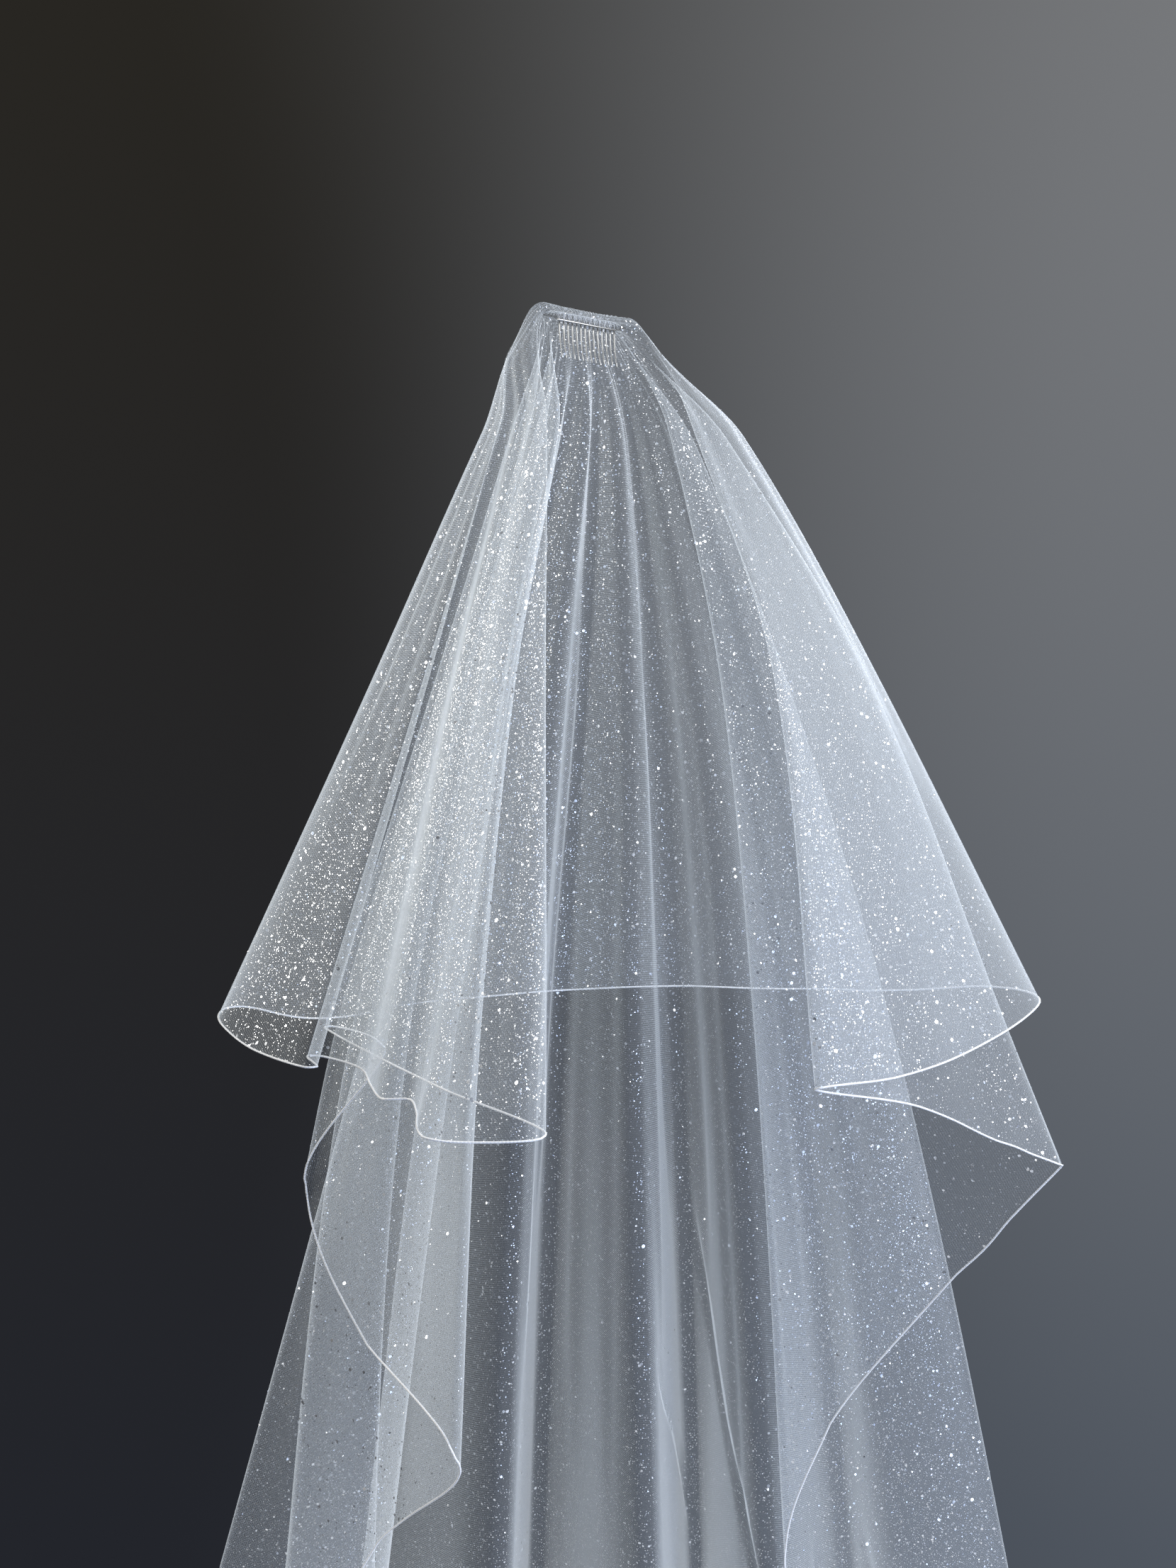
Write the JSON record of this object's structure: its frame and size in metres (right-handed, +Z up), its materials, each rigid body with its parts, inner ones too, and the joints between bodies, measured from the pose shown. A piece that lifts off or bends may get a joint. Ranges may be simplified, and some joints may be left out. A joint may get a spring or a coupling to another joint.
{
  "type": "bridal veil",
  "caption": "Two-tier drop veil of sheer glitter tulle gathered on a hair comb, with side cascades, a corded edge and a floor-length lower tier, in its worn form.",
  "frame": {"origin": "middle of the comb at the top of its spine, where the veil sits in the hair at the back of the head", "axes": "+Z up, -Y to the wearer's front and the viewer, +X to the viewer's right"},
  "size_m": [1.0373, 0.8318, 1.7036],
  "materials": {
    "tulle": "sheer cool white net with glitter dots",
    "satin_cord": "smooth white corded edge",
    "comb_metal": "silver plated wire comb"
  },
  "bodies": {
    "root": {"comb": "comb_metal", "gathered_heading": "tulle", "hem_cord": "satin_cord", "upper_tier": "tulle", "left_cascade": "tulle", "lower_tier": "tulle", "right_cascade": "tulle"}
  },
  "joints": []
}
